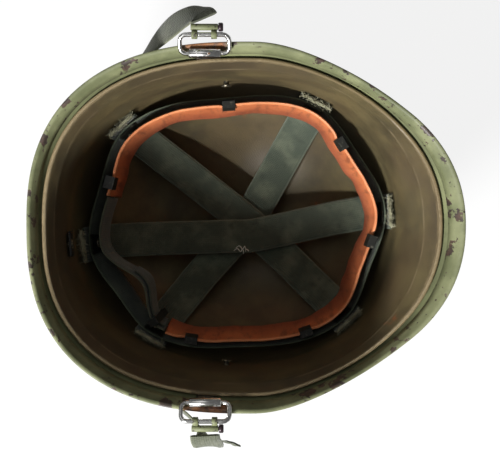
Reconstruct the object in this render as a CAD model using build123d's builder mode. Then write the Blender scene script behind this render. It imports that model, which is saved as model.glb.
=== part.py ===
from build123d import *
from math import cos, sin, sqrt, pi, radians, degrees, atan2
import os

os.makedirs("parts", exist_ok=True)

# The helmet lies on its crown, as it does on a table: the opening looks up (+Z), the brim
# points to +X and the wearer's right side is +Y. The origin is the lowest point of the crown.

# Steel pot, outer face. Each of the three profiles is a quarter oval that turns into a flare.
pot_wall = 1.1
side_height = 178.0
front_drop = 26.0
rear_drop = 7.0
front_step_start = 5.0
front_step_end = 107.0
front_reach, front_dome, front_flare_start, front_flare_radius = 110.0, 96.0, 88.0, 62.0
side_reach, side_dome, side_flare_start, side_flare_radius = 104.0, 84.0, 138.0, 59.5
rear_reach, rear_dome, rear_flare_start, rear_flare_radius = 126.0, 105.0, 125.0, 76.0
front_squareness = 2.18
rear_squareness = 2.55
round_squareness = 2.0
bowl_steps = 18
outline_steps = 32
overrun = 2.0
probe_turn = 1.0
probe_rise = 1.0
halvings = 50
full_turn = 360.0

# The crown is pressed flat where the helmet rests, and its lowest levels lie behind the
# bowl's middle, under the helmet's weight: so it stands level on a table.
crown_flat = 0.7
crown_shift = 11.0
crown_blend = 54.0

# Rolled steel strip over the pot's edge.
band_skin = 0.6
band_depth = 8.0

# Fibre liner inside the pot.
liner_gap = 1.4
liner_wall = 2.3
liner_drop = 9.5
rivet_radius = 2.0
rivet_head_radius = 4.6
rivet_head_height = 0.9
hole_clearance = 0.15
rivet_head_share = 0.8
rivet_head_taper = 25.0

# Webbing and the six washers that hold it to the liner. Angles run from the brim towards
# the wearer's right side.
web_width = 25.0
web_thickness = 1.4
web_seat = 1.6
lap_gap = 0.2
band_seat = 1.5
washer_height = 70.0
washer_angles = [4.5, 60.0, 142.0, 188.0, 230.0, 316.0]
washer_width = 15.0
washer_top_width = 9.0
washer_length = 20.0
washer_thickness = 1.0
washer_stand = 1.5
band_sag = 5.5
hole_depth = 10.0
tuft_width = 22.0
tuft_length = 9.0

# Crown straps: they hang between opposite washers and cross over the crown.
crossing = (1.0, -2.0)
long_crossing = (2.0, -12.0)
crossing_height = 24.0
crossing_step = 2.6
strap_foot = 16.0
foot_shares = [0.75, 0.25, -0.25, -0.75, -1.0]
strap_curve_share = 0.93
strap_steps = 7

# Leather sweatband with its webbing closure at the nape.
leather_height = 34.0
leather_thickness = 1.4
leather_rise = 20.0
leather_room = 3.0
leather_lean = 7.0
leather_start = 169.0
leather_end = -127.0
leather_step = 5.0
closure_joint = 0.6
closure_rise = 5.0
closure_gap = 0.8
closure_step = 2.5
closure_pull = 12.0
closure_pull_start = 188.0
closure_pull_end = 231.0
tail_start = 203.0
tail_end = 231.5
tail_width = 19.0
slide_angle = 227.0
slide_wire = 1.6
slide_length = 5.0
slide_margin = 1.5
clip_angles = [100.0, 42.0, -5.5, -59.0, -119.0, 163.0]
clip_width = 9.0
clip_leg = 8.0
clip_hook = 14.0
clip_metal = 0.8
clip_stand = 0.5
soft_gap = 0.3

# Fittings on the liner's wall.
stud_drop = 80.0
stud_angle = 98.0
stud_rise = 3.0
nape_angle = 186.0
nape_drop = 54.0
nape_width = 17.0
nape_length = 12.0
nape_thickness = 1.2

# Chin strap bales: wire loops hinged inside the rim and folded outward over it.
bale_x = -26.0
hinge_inset = 6.9
hinge_rise = 0.6
bale_wire = 1.5
bale_width = 31.0
bale_length = 12.6
bale_corner = 4.0
bale_rise = 28.0
pin_clearance = 0.25
lug_wall = 1.2
lug_barrel = 20.0
lug_plate = 0.6
lug_width = 13.0
lug_drop = 17.0
lug_insets = [1.8, 1.8, 1.8, 2.1, 3.2]
lug_rises = [0.0, 3.0, 6.0, 9.0, 12.0]

# Hook that holds the chin strap on each bale.
hook_metal = 1.1
hook_finger = 3.6
hook_spread = 12.2
hook_barrel = 17.0
hook_barrel_radius = 2.1
hook_pin_radius = 1.2
hook_reach = 4.6
knob_radius = 2.8
knob_length = 3.0

# Chin strap webbing, led from both hooks round the nape below the flare.
chin_width = 19.0
chin_thickness = 1.6
chin_drop = 30.0
chin_stand = 2.0
chin_step = 5.0
lap_stand = 1.0
chin_right_start = 134.0
chin_left_start = 235.0
buckle_angle = 201.0
buckle_length = 17.0
buckle_height = 24.0
buckle_bar = 3.0
buckle_plate = 2.0
tongue_width = 12.0
tongue_length = 13.0
strap_tail_length = 32.0
tip_length = 7.0
tip_margin = 1.0
fold_width = 9.0
fold_thickness = 1.2

# Way of each strap end from its hook to the wall. Each place is an angle, a distance off the
# pot's outer face and a share of the way up from the strap to the hinges. Then comes the
# direction across the webbing, from its rear or upper edge to its front or lower edge.
right_lead = [
    ((101.3, 8.0, 1.18), (1.0, 0.0, 0.0)),
    ((102.3, 12.0, 1.09), (0.92, 0.3, -0.25)),
    ((105.6, 14.0, 0.96), (0.65, 0.55, -0.53)),
    ((110.0, 14.2, 0.78), (0.3, 0.6, -0.74)),
    ((115.2, 13.0, 0.55), (0.12, 0.45, -0.88)),
    ((120.5, 10.5, 0.3), (0.05, 0.28, -0.95)),
    ((125.8, 7.0, 0.12), (0.0, 0.2, -0.98)),
]
left_lead = [
    ((258.7, 7.0, 1.19), (1.0, 0.0, 0.0)),
    ((259.2, 12.0, 1.098), (1.0, 0.0, -0.1)),
    ((260.1, 19.0, 0.9), (0.9, 0.0, -0.3)),
    ((260.0, 24.0, 0.66), (0.7, -0.2, -0.5)),
    ((258.5, 25.0, 0.4), (0.45, -0.5, -0.75)),
    ((254.5, 21.0, 0.18), (0.25, -0.5, -0.85)),
    ((248.0, 15.0, 0.06), (0.1, -0.3, -0.95)),
    ((241.5, 8.5, 0.0), (0.0, -0.2, -0.98)),
]
fold_way = [(264.3, 11.0, 1.127), (265.8, 13.0, 1.078), (267.8, 17.0, 0.98)]

front_profile = (front_reach, front_dome, front_flare_start, front_flare_radius)
side_profile = (side_reach, side_dome, side_flare_start, side_flare_radius)
rear_profile = (rear_reach, rear_dome, rear_flare_start, rear_flare_radius)
bowl_top = side_height + overrun
liner_outer = pot_wall + liner_gap
liner_inner = liner_outer + liner_wall
leather_top = washer_height + leather_rise
closure_middle = washer_height + closure_rise
band_low = washer_height - web_width / 2
band_high = washer_height + web_width / 2
stud_height = side_height - stud_drop
nape_height = side_height - nape_drop
lug_bottom = side_height - lug_drop
bale_hinge_z = side_height + hinge_rise
chin_height = side_height - chin_drop
rear_rim_reach = rear_reach + (side_height - rear_drop - rear_flare_start) ** 2 / (2 * rear_flare_radius)


def profile_reach(profile, z):
    """How far the outer face stands from the middle at height z, along one profile."""
    reach, dome, flare_start, flare_radius = profile
    rise = min((z + crown_flat) / dome, 1)
    return reach * sqrt(rise * (2 - rise)) + max(z - flare_start, 0) ** 2 / (2 * flare_radius)


def profile_slope(profile, z):
    reach, dome, flare_start, flare_radius = profile
    rise = min((z + crown_flat) / dome, 1)
    dome_slope = reach * (1 - rise) / (dome * sqrt(rise * (2 - rise)))
    return dome_slope + max(z - flare_start, 0) / flare_radius


def inset_reach(profile, z, inset):
    """Reach at height z of the surface that lies inset inside the outer face, square to it."""
    low, high = -crown_flat, z + abs(inset)
    for _ in range(halvings):
        middle = (low + high) / 2
        slope = profile_slope(profile, middle)
        if middle + inset * slope / sqrt(1 + slope**2) < z:
            low = middle
        else:
            high = middle
    slope = profile_slope(profile, high)
    return profile_reach(profile, high) - inset / sqrt(1 + slope**2)


def squareness(z, at_rim):
    return round_squareness + (at_rim - round_squareness) * min(z / side_height, 1)


def wall_radius(angle, z, inset):
    """Distance from the middle to the inset surface, at one angle and height."""
    ahead = cos(radians(angle)) >= 0
    along = inset_reach(front_profile if ahead else rear_profile, z, inset)
    across = inset_reach(side_profile, z, inset)
    power = squareness(z, front_squareness if ahead else rear_squareness)
    share = (abs(cos(radians(angle))) / along) ** power + (abs(sin(radians(angle))) / across) ** power
    return share ** (-1 / power)


def wall_point(angle, z, inset):
    radius = wall_radius(angle, z, inset)
    behind = crown_shift * max(1 - z / crown_blend, 0) ** 2
    return Vector(radius * cos(radians(angle)) - behind, radius * sin(radians(angle)), z)


def wall_plane(angle, z, inset):
    """Plane on the inset surface: its X runs level round the bowl, its Z points inward."""
    level = (wall_point(angle - probe_turn, z, inset)
             - wall_point(angle + probe_turn, z, inset)).normalized()
    upward = (wall_point(angle, z + probe_rise, inset)
              - wall_point(angle, z - probe_rise, inset)).normalized()
    inward = level.cross(upward).normalized()
    return Plane(origin=wall_point(angle, z, inset), x_dir=level, z_dir=inward)


def closed_outline(points):
    """A smooth closed line through the points, all of them equal steps apart along it."""
    even = [step / len(points) for step in range(len(points) + 1)]
    add(Edge.make_spline(points, periodic=True, parameters=even))


def level_face(z, inset):
    with BuildSketch(Plane.XY.offset(z)) as level:
        with BuildLine():
            angles = [full_turn * step / outline_steps for step in range(outline_steps)]
            closed_outline([wall_point(angle, z, inset) - Vector(0, 0, z) for angle in angles])
        make_face()
    return level.sketch


def bowl(inset):
    """The solid bowl inside the inset surface, from its flat crown to a level top."""
    levels = []
    for step in range(bowl_steps + 1):
        z = inset + (bowl_top - inset) * (1 - cos(step / bowl_steps * pi / 2))
        levels.append(level_face(z, inset))
    with BuildPart() as solid_bowl:
        loft(sections=levels)
    return solid_bowl.part


def even_wall(outer_inset, inner_inset):
    """The wall between two inset surfaces, closed by a level ring at the top."""
    outer_floor, outer_side, outer_top = bowl(outer_inset).faces().sort_by(Axis.Z)
    inner_floor, inner_side, inner_top = bowl(inner_inset).faces().sort_by(Axis.Z)
    top = Face(outer_top.outer_wire(), [inner_top.outer_wire()])
    return Solid(Shell([outer_floor, outer_side, top, inner_side, inner_floor]))


# The trimming tools reach past the bowl on every side, and the hinges lie inside the rim.
trim_reach = max(profile_reach(profile, bowl_top)
                 for profile in (front_profile, side_profile, rear_profile))
trim_reach += 2 * overrun
bale_hinge_y = profile_reach(side_profile, side_height) - hinge_inset


def rim_height(x):
    """The pot's edge seen from the side: level at the brim, stepped up to the ears."""
    share = min(max((x - front_step_start) / (front_step_end - front_step_start), 0), 1)
    behind = min(x / rear_rim_reach, 0)
    return side_height - front_drop * share**2 * (3 - 2 * share) - rear_drop * behind**2


def rim_region(drop, height):
    """Everything from the rim line, lowered by drop, up by height: used to trim bowls."""
    points = []
    for step in range(outline_steps + 1):
        x = trim_reach * (2 * step / outline_steps - 1)
        points.append((x, rim_height(x) - drop))
    with BuildSketch(Plane.XZ) as region:
        with BuildLine():
            Spline(*points)
            Polyline(points[-1], (trim_reach, height), (-trim_reach, height), points[0])
        make_face()
    return region.sketch


def trim_above(drop):
    extrude(rim_region(drop, 2 * side_height), amount=trim_reach, both=True, mode=Mode.SUBTRACT)


def trim_below(drop):
    extrude(rim_region(drop, -overrun), amount=trim_reach, both=True, mode=Mode.SUBTRACT)


def ribbon(points, edges, width, thickness, mode=Mode.ADD):
    """A strap lofted through its middle points; each edge is the direction across it."""
    sections = []
    last = len(points) - 1
    for index, point in enumerate(points):
        ahead = (points[min(index + 1, last)] - points[max(index - 1, 0)]).normalized()
        across = edges[index] - ahead * ahead.dot(edges[index])
        plane = Plane(origin=point, x_dir=across.normalized(), z_dir=ahead)
        with BuildSketch(plane) as section:
            Rectangle(width, thickness)
        sections.append(section.sketch)
    loft(sections=sections, mode=mode)


def rivet_holes(planes, depth):
    with BuildSketch(*planes) as holes:
        Circle(rivet_radius + hole_clearance)
    extrude(holes.sketch, amount=depth, both=True, mode=Mode.SUBTRACT)


washer_planes = [wall_plane(angle, washer_height, liner_inner) for angle in washer_angles]
stud_planes = [wall_plane(side * stud_angle, stud_height, liner_inner) for side in (1, -1)]
nape_plane = wall_plane(nape_angle, nape_height, liner_inner)

# Pot: one drawn steel shell of even wall.
with BuildPart() as pot_shell:
    add(even_wall(0, pot_wall))
    trim_above(0)

# Rim band: a thin strip folded over the edge, inside and outside.
with BuildPart() as rim_band:
    add(even_wall(-band_skin, pot_wall + band_skin))
    trim_above(-band_skin)
    trim_below(band_depth)
    add(pot_shell.part, mode=Mode.SUBTRACT)

# Liner: a fibre shell that follows the pot, its edge a little below the rim.
with BuildPart() as liner_shell:
    add(even_wall(liner_outer, liner_inner))
    trim_above(liner_drop)
    rivet_holes([*washer_planes, *stud_planes, nape_plane], liner_wall + overrun)


def strap_path(first, second, lift, over):
    """Middle line and cross directions of a crown strap from one washer to another."""
    points, edges = [], []
    for angle, way in ((first, 1), (second, -1)):
        along_wall = [strap_foot * share for share in foot_shares]
        inset = liner_inner + web_seat + web_thickness / 2
        side_points = [wall_point(angle, washer_height + rise, inset) for rise in along_wall]
        side_edges = [wall_plane(angle, point.Z, inset).x_dir * way for point in side_points]
        foot = side_points[-1]
        low = crossing_height + lift
        for step in range(1, strap_steps):
            share = 1 - step / strap_steps
            drop = (1 - sqrt(1 - (strap_curve_share * share) ** 2)) / (1 - sqrt(1 - strap_curve_share**2))
            side_points.append(Vector(over[0] + (foot.X - over[0]) * share,
                                      over[1] + (foot.Y - over[1]) * share,
                                      low + (foot.Z - low) * drop))
            side_edges.append(side_edges[0])
        if way == 1:
            points, edges = side_points + [Vector(*over, low)], side_edges + [side_edges[0]]
        else:
            points, edges = points + side_points[::-1], edges + side_edges[::-1]
    return points, edges


def crown_strap(first, second, level, over=crossing):
    points, edges = strap_path(washer_angles[first], washer_angles[second], level * crossing_step, over)
    ribbon(points, edges, web_width, web_thickness)
    rivet_holes([washer_planes[first], washer_planes[second]], hole_depth)


with BuildPart() as crown_strap_low:
    crown_strap(1, 4, 0)

with BuildPart() as crown_strap_middle:
    crown_strap(2, 5, 1)

with BuildPart() as crown_strap_long:
    crown_strap(0, 3, 3, long_crossing)


def band_inset(angle):
    """How far the suspension band stands off the liner: it bows in between the washers."""
    ahead = min((washer - angle) % full_turn for washer in washer_angles)
    behind = min((angle - washer) % full_turn for washer in washer_angles)
    share = behind / (ahead + behind) if behind > 0 else 0
    return web_seat + web_thickness + band_seat + band_sag * sin(pi * share) ** 2


def band_radius(angle, height, depth):
    return wall_radius(angle, height, liner_inner) - band_inset(angle) - depth


def band_point(angle, height, depth):
    radius = band_radius(angle, height, depth)
    return Vector(radius * cos(radians(angle)), radius * sin(radians(angle)), 0)


def band_face(angle, height, depth):
    """A point of the band's side, which runs straight from its lower to its upper edge."""
    low = band_point(angle, band_low, depth)
    return low + (band_point(angle, band_high, depth) - low) * ((height - band_low) / web_width)


def band_outline(height, depth):
    turns = [full_turn * step / (2 * outline_steps) for step in range(2 * outline_steps)]
    points = [band_point(turn, height, depth) for turn in turns]
    with BuildSketch(Plane.XY.offset(height)) as outline:
        with BuildLine():
            closed_outline(points)
        make_face()
    return outline.sketch


# Suspension band: webbing round the liner, through all six washers.
with BuildPart() as suspension_band:
    loft(sections=[band_outline(band_low, 0), band_outline(band_high, 0)], ruled=True)
    loft(sections=[band_outline(band_low, web_thickness), band_outline(band_high, web_thickness)],
         ruled=True, mode=Mode.SUBTRACT)
    rivet_holes(washer_planes, hole_depth)

washer_inset = web_seat + 2 * web_thickness + band_seat + washer_stand

with BuildPart() as suspension_washers:
    for plane in washer_planes:
        with BuildSketch(plane.offset(washer_inset)) as plate:
            with BuildLine():
                Polyline((-washer_width / 2, washer_length / 2), (washer_width / 2, washer_length / 2),
                         (washer_top_width / 2, -washer_length / 2),
                         (-washer_top_width / 2, -washer_length / 2), close=True)
            make_face()
            fillet(plate.vertices(), washer_thickness)
            Circle(rivet_radius + hole_clearance, mode=Mode.SUBTRACT)
        extrude(plate.sketch, amount=washer_thickness)


def rivet(plane, inner_end):
    """A rivet from its head under the pot to its peened head inside."""
    with BuildSketch(plane.offset(-liner_wall - lap_gap - rivet_head_height)) as outer_head:
        Circle(rivet_head_radius)
    extrude(outer_head.sketch, amount=rivet_head_height)
    with BuildSketch(plane.offset(-liner_wall - lap_gap)) as shank:
        Circle(rivet_radius)
    extrude(shank.sketch, amount=liner_wall + lap_gap + inner_end)
    with BuildSketch(plane.offset(inner_end)) as inner_head:
        Circle(rivet_head_share * rivet_head_radius)
    extrude(inner_head.sketch, amount=rivet_head_height, taper=rivet_head_taper)


with BuildPart() as suspension_rivets:
    for plane in washer_planes:
        rivet(plane, washer_inset + washer_thickness)

with BuildPart() as side_studs:
    for plane in stud_planes:
        rivet(plane, stud_rise)

with BuildPart() as nape_plate:
    with BuildSketch(nape_plane.offset(lap_gap + web_seat)) as plate:
        RectangleRounded(nape_width, nape_length, nape_thickness)
        Circle(rivet_radius + hole_clearance, mode=Mode.SUBTRACT)
    extrude(plate.sketch, amount=nape_thickness)

with BuildPart() as nape_rivet:
    rivet(nape_plane, lap_gap + web_seat + nape_thickness)

with BuildPart() as strap_ends:
    for angle in washer_angles:
        rises = [web_width / 2 + soft_gap, web_width / 2 + tuft_length / 2, web_width / 2 + tuft_length]
        inset = liner_inner + web_seat + web_thickness / 2
        points = [wall_point(angle, washer_height + rise, inset) for rise in rises]
        edges = [wall_plane(angle, washer_height, inset).x_dir] * len(points)
        ribbon(points, edges, tuft_width, web_thickness)


def leather_point(angle, height, depth):
    """A point of the leaning sweatband, depth nearer the head than its middle layer."""
    lean = leather_lean * (leather_top - height) / leather_height
    radius = band_radius(angle, washer_height, web_thickness + leather_room + lean + depth)
    return Vector(radius * cos(radians(angle)), radius * sin(radians(angle)), height)


def leaning_edge(angle):
    outward = Vector(cos(radians(angle)), sin(radians(angle)), 0)
    return (outward * leather_lean + Vector(0, 0, leather_height)).normalized()


def spread(start, end, steps):
    return [start + (end - start) * step / steps for step in range(steps + 1)]


# Sweatband: leather from one side of the nape round the brow to the other.
with BuildPart() as sweatband_leather:
    angles = spread(leather_start, leather_end, round((leather_start - leather_end) / leather_step))
    middle = leather_top - leather_height / 2
    ribbon([leather_point(angle, middle, 0) for angle in angles],
           [leaning_edge(angle) for angle in angles], leather_height, leather_thickness)


def closure_point(angle, layer):
    """A point of the nape webbing, which cuts inside the oval where its slide pulls it."""
    share = (angle - closure_pull_start) / (closure_pull_end - closure_pull_start)
    pull = closure_pull * sin(pi * min(max(share, 0), 1)) ** 2
    return leather_point(angle, closure_middle, pull + layer * (web_thickness + closure_gap))


def level_way(place, angle):
    """The level direction in which a line of places runs on, at one angle."""
    return (place(angle + probe_turn) - place(angle - probe_turn)).normalized()


def closure_band(start, end, layer, width):
    angles = spread(start, end, round((end - start) / closure_step))
    ribbon([closure_point(angle, layer) for angle in angles],
           [leaning_edge(angle) for angle in angles], width, web_thickness)


with BuildPart() as sweatband_web:
    web_end = full_turn + leather_end - closure_joint
    closure_band(leather_start + closure_joint, web_end, 0, web_width)

with BuildPart() as sweatband_tail:
    closure_band(tail_start, tail_end, 1, tail_width)

with BuildPart() as sweatband_slide:
    centre = (closure_point(slide_angle, 0) + closure_point(slide_angle, 1)) * 0.5
    ahead = level_way(lambda angle: closure_point(angle, 0), slide_angle)
    across = leaning_edge(slide_angle)
    depth = 2 * web_thickness + closure_gap + 3 * soft_gap
    opening = web_width + 2 * slide_margin
    with BuildSketch(Plane(origin=centre, x_dir=across, z_dir=ahead)) as frame:
        RectangleRounded(opening + 2 * slide_wire, depth + 2 * slide_wire, slide_wire / 2)
        Rectangle(opening, depth, mode=Mode.SUBTRACT)
    extrude(frame.sketch, amount=slide_length / 2, both=True)

# Clips that hang the leather on the suspension band.
with BuildPart() as sweatband_clips:
    for angle in clip_angles:
        side = -level_way(lambda turn: leather_point(turn, 0, 0), angle)
        outward = Vector(-side.Y, side.X, 0)
        foot = leather_point(angle, 0, 0)
        top = leather_top + soft_gap + clip_metal / 2
        stand = clip_stand + clip_metal / 2
        half_turn = degrees(clip_width / 2 / foot.length)
        band_edges = [band_face(angle + turn, top - clip_hook, web_thickness)
                      for turn in (-half_turn, 0, half_turn)]
        outer = min((edge - foot).dot(outward) for edge in band_edges) - stand
        stand = leather_thickness / 2 + 2 * soft_gap + stand
        inner_top = (leather_point(angle, top, 0) - foot).dot(outward) - stand
        inner_low = (leather_point(angle, top - clip_leg, 0) - foot).dot(outward) - stand
        with BuildSketch(Plane(origin=foot, x_dir=outward, z_dir=side)) as bent:
            with BuildLine():
                Polyline((outer, top - clip_hook), (outer, top), (inner_top, top),
                         (inner_low, top - clip_leg))
            trace(line_width=clip_metal)
        extrude(bent.sketch, amount=clip_width / 2, both=True)


def bale_plane(way):
    """Plane of a folded bale: its X runs along the hinge, its Y to the free bar."""
    across = Vector(0, way * cos(radians(bale_rise)), sin(radians(bale_rise)))
    return Plane(origin=(bale_x, way * bale_hinge_y, bale_hinge_z), x_dir=(1, 0, 0),
                 z_dir=Vector(1, 0, 0).cross(across))


def free_bar(way):
    plane = bale_plane(way)
    return plane.origin + plane.y_dir * bale_length


def along_hinge(origin, shift=0):
    """Plane square to the hinges, with its X along +Y and its Y along +Z."""
    return Plane(origin=origin + Vector(shift, 0, 0), x_dir=(0, 1, 0), z_dir=(1, 0, 0))


def bale(way):
    half = bale_width / 2
    with BuildLine(bale_plane(way)) as loop:
        FilletPolyline((half, 0), (half, bale_length), (-half, bale_length), (-half, 0),
                       radius=bale_corner, close=True)
    with BuildSketch(Plane(origin=loop.wire() @ 0, z_dir=loop.wire() % 0)) as wire:
        Circle(bale_wire)
    sweep(wire.sketch, path=loop.wire())


def lug(way):
    """Sheet lug on the pot's inner wall, rolled into a barrel round the bale's hinge bar."""
    hinge = bale_plane(way).origin
    angle = degrees(atan2(hinge.Y, hinge.X))
    points = []
    for rise, inset in zip(lug_rises, lug_insets):
        points.append(wall_point(angle, lug_bottom + rise, inset))
    points.append(hinge - Vector(0, 0, bale_wire + pin_clearance + lug_wall / 2))
    ribbon(points, [wall_plane(angle, lug_bottom, 0).x_dir] * len(points), lug_width, lug_plate)
    with BuildSketch(along_hinge(hinge)) as barrel:
        Circle(bale_wire + pin_clearance + lug_wall)
    extrude(barrel.sketch, amount=lug_barrel / 2, both=True)
    with BuildSketch(along_hinge(hinge)) as bore:
        Circle(bale_wire + pin_clearance)
    extrude(bore.sketch, amount=lug_barrel, both=True, mode=Mode.SUBTRACT)


def hook(way):
    """Two fingers round the bale's free bar, joined to the barrel that carries the strap."""
    bar = free_bar(way)
    for shift in (-hook_spread / 2, hook_spread / 2):
        with BuildSketch(along_hinge(bar, shift)) as finger:
            Circle(bale_wire + pin_clearance + hook_metal)
            with Locations((way * hook_reach / 2, 0)):
                Rectangle(hook_reach, 2 * hook_metal)
        extrude(finger.sketch, amount=hook_finger / 2, both=True)
    with BuildSketch(along_hinge(bar)) as barrel:
        with Locations((way * hook_reach, 0)):
            Circle(hook_barrel_radius)
    extrude(barrel.sketch, amount=hook_barrel / 2, both=True)
    with BuildSketch(along_hinge(bar)) as bores:
        Circle(bale_wire + pin_clearance)
        with Locations((way * hook_reach, 0)):
            Circle(hook_pin_radius + hole_clearance)
    extrude(bores.sketch, amount=hook_barrel, both=True, mode=Mode.SUBTRACT)


def hook_pin(way):
    axis = free_bar(way) + Vector(0, way * hook_reach, 0)
    with BuildSketch(along_hinge(axis, -hook_barrel / 2)) as shank:
        Circle(hook_pin_radius)
    extrude(shank.sketch, amount=hook_barrel + soft_gap)
    with BuildSketch(along_hinge(axis, hook_barrel / 2 + soft_gap)) as knob:
        Circle(knob_radius)
    extrude(knob.sketch, amount=knob_length)


with BuildPart() as bale_right:
    bale(1)

with BuildPart() as bale_left:
    bale(-1)

with BuildPart() as bale_lug_right:
    lug(1)

with BuildPart() as bale_lug_left:
    lug(-1)

with BuildPart() as hook_right:
    hook(1)

with BuildPart() as hook_left:
    hook(-1)

with BuildPart() as hook_pin_right:
    hook_pin(1)

with BuildPart() as hook_pin_left:
    hook_pin(-1)


def chin_point(angle, layer):
    inset = -chin_stand - chin_thickness / 2 - layer * (chin_thickness + lap_stand)
    return wall_point(angle, chin_height, inset)


def lead_point(angle, stand, share):
    """A point off the pot's outer face, a share of the way up from the strap to the hinges."""
    return wall_point(angle, chin_height + share * (bale_hinge_z - chin_height), -stand)


def chin_edge(angle):
    return wall_plane(angle, chin_height, 0).y_dir * -1


def chin_turn(length):
    """The angle that a length of strap takes up at the buckle."""
    return degrees(length / wall_radius(buckle_angle, chin_height, -chin_stand))


def chin_band(lead, start, end, layer=0):
    points = [lead_point(*place) for place, across in lead]
    edges = [Vector(*across) for place, across in lead]
    for angle in spread(start, end, max(2, round(abs(end - start) / chin_step))):
        points.append(chin_point(angle, layer))
        edges.append(chin_edge(angle))
    ribbon(points, edges, chin_width, chin_thickness)


half_buckle = chin_turn(buckle_length / 2 + 2 * soft_gap)

with BuildPart() as chinstrap_right:
    chin_band(right_lead, chin_right_start, buckle_angle - half_buckle)

with BuildPart() as chinstrap_left:
    chin_band(left_lead, chin_left_start, buckle_angle + half_buckle)

tail_stop = buckle_angle + half_buckle + chin_turn(strap_tail_length)

with BuildPart() as chinstrap_tail:
    chin_band([], buckle_angle + half_buckle, tail_stop, layer=1)

with BuildPart() as chinstrap_tip:
    tip_middle = chin_point(tail_stop + chin_turn(tip_length / 2 + 2 * soft_gap), 1)
    tip_plane = wall_plane(tail_stop + chin_turn(tip_length / 2), chin_height, 0)
    with BuildSketch(Plane(origin=tip_middle, x_dir=tip_plane.x_dir, z_dir=tip_plane.z_dir)) as tip:
        RectangleRounded(tip_length, chin_width + tip_margin, tip_margin)
    extrude(tip.sketch, amount=chin_thickness / 2, both=True)

buckle_face = wall_plane(buckle_angle, chin_height, -chin_stand)

with BuildPart() as chinstrap_buckle:
    with BuildSketch(buckle_face.offset(-buckle_plate)) as frame:
        RectangleRounded(buckle_length, buckle_height, buckle_plate)
        Rectangle(buckle_length - 2 * buckle_bar, buckle_height - 2 * buckle_bar, mode=Mode.SUBTRACT)
        Rectangle(buckle_bar, buckle_height)
    extrude(frame.sketch, amount=buckle_plate)

with BuildPart() as chinstrap_tongue:
    with BuildSketch(buckle_face.offset(-2 * buckle_plate - soft_gap)) as tongue:
        RectangleRounded(tongue_width, tongue_length, buckle_plate)
    extrude(tongue.sketch, amount=buckle_plate)

with BuildPart() as strap_fold:
    points = [lead_point(*place) for place in fold_way]
    ribbon(points, [Vector(0, 0, 1)] * len(points), fold_width, fold_thickness)

pieces = {
    "pot_shell": pot_shell,
    "rim_band": rim_band,
    "liner_shell": liner_shell,
    "crown_strap_low": crown_strap_low,
    "crown_strap_middle": crown_strap_middle,
    "crown_strap_long": crown_strap_long,
    "suspension_band": suspension_band,
    "suspension_washers": suspension_washers,
    "suspension_rivets": suspension_rivets,
    "strap_ends": strap_ends,
    "side_studs": side_studs,
    "nape_plate": nape_plate,
    "nape_rivet": nape_rivet,
    "sweatband_leather": sweatband_leather,
    "sweatband_web": sweatband_web,
    "sweatband_tail": sweatband_tail,
    "sweatband_slide": sweatband_slide,
    "sweatband_clips": sweatband_clips,
    "bale_lug_right": bale_lug_right,
    "bale_lug_left": bale_lug_left,
    "bale_right": bale_right,
    "bale_left": bale_left,
    "hook_right": hook_right,
    "hook_left": hook_left,
    "hook_pin_right": hook_pin_right,
    "hook_pin_left": hook_pin_left,
    "chinstrap_right": chinstrap_right,
    "chinstrap_left": chinstrap_left,
    "chinstrap_tail": chinstrap_tail,
    "chinstrap_tip": chinstrap_tip,
    "chinstrap_buckle": chinstrap_buckle,
    "chinstrap_tongue": chinstrap_tongue,
    "strap_fold": strap_fold,
}
for name, piece in pieces.items():
    piece.part.label = name
    export_step(piece.part, f"parts/{name}.step")
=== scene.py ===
import math

import bmesh
import bpy
import numpy as np
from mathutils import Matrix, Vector, noise


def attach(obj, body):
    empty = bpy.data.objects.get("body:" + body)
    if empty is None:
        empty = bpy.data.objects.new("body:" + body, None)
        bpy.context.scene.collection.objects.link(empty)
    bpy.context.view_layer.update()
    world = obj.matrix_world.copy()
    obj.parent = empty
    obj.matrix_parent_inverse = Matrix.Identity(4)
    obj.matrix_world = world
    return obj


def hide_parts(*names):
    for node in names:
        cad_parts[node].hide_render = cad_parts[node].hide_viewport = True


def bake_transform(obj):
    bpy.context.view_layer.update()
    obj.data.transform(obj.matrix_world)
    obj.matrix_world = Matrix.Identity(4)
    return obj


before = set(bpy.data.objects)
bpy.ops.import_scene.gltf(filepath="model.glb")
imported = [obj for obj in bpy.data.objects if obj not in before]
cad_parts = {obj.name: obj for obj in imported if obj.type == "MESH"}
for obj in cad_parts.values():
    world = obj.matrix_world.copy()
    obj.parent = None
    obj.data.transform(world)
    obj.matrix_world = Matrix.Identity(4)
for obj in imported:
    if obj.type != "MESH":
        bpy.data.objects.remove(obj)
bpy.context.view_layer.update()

# The steel pot is one sheet drawn over a punch and flared at the edge, 1.1 mm thick. Its three
# profiles (brow, side, nape) are quarter ovals that turn into a flare, and in plan it is an
# oval with slightly square corners. The crown is flat where it rests, behind the middle.
MM = 0.001  # sizes are in millimetres until a mesh is made, and in materials in metres
POT_WALL = 1.1
SIDE_HEIGHT, BROW_DROP, NAPE_DROP = 178.0, 26.0, 7.0
STEP_START, STEP_END = 5.0, 107.0
CROWN_FLAT, CROWN_SHIFT, CROWN_BLEND = 0.7, 11.0, 54.0
BROW = (110.0, 96.0, 88.0, 62.0)
SIDE = (104.0, 84.0, 138.0, 59.5)
NAPE = (126.0, 105.0, 125.0, 76.0)
BROW_SQUARENESS, NAPE_SQUARENESS = 2.18, 2.55
NAPE_RIM = NAPE[0] + (SIDE_HEIGHT - NAPE_DROP - NAPE[2]) ** 2 / (2 * NAPE[3])
ROUND, RIM_ROUNDS = 240, 14
tables = {}


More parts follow.
